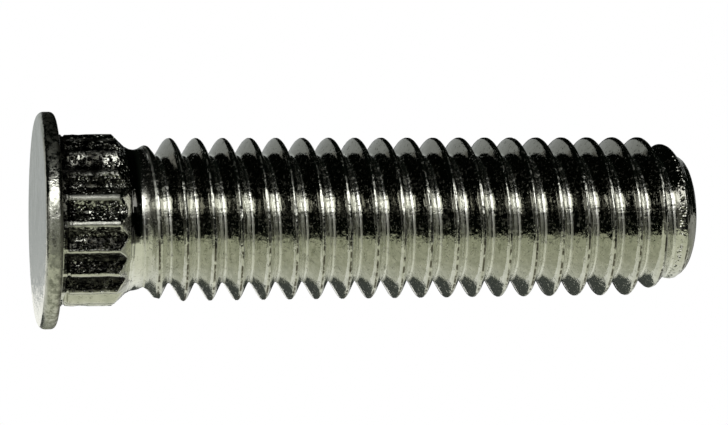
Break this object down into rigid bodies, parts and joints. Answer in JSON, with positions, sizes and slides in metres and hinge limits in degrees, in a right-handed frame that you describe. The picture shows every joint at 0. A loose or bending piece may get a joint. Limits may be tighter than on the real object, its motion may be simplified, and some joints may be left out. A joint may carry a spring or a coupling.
{
  "type": "self-clinching stud",
  "caption": "Headed threaded stud with a ribbed shoulder that is pressed into sheet metal and holds a nut on the far side.",
  "frame": {"origin": "centre of the head's outer face", "axes": "+Z along the shank from the head towards the point; the thread is right-handed about +Z"},
  "size_m": [0.0064, 0.0064, 0.0197],
  "materials": {
    "plated_steel": "bright zinc plate over rolled steel, lightly speckled and streaked"
  },
  "bodies": {
    "root": {"clinch_stud": "plated_steel"}
  },
  "joints": []
}
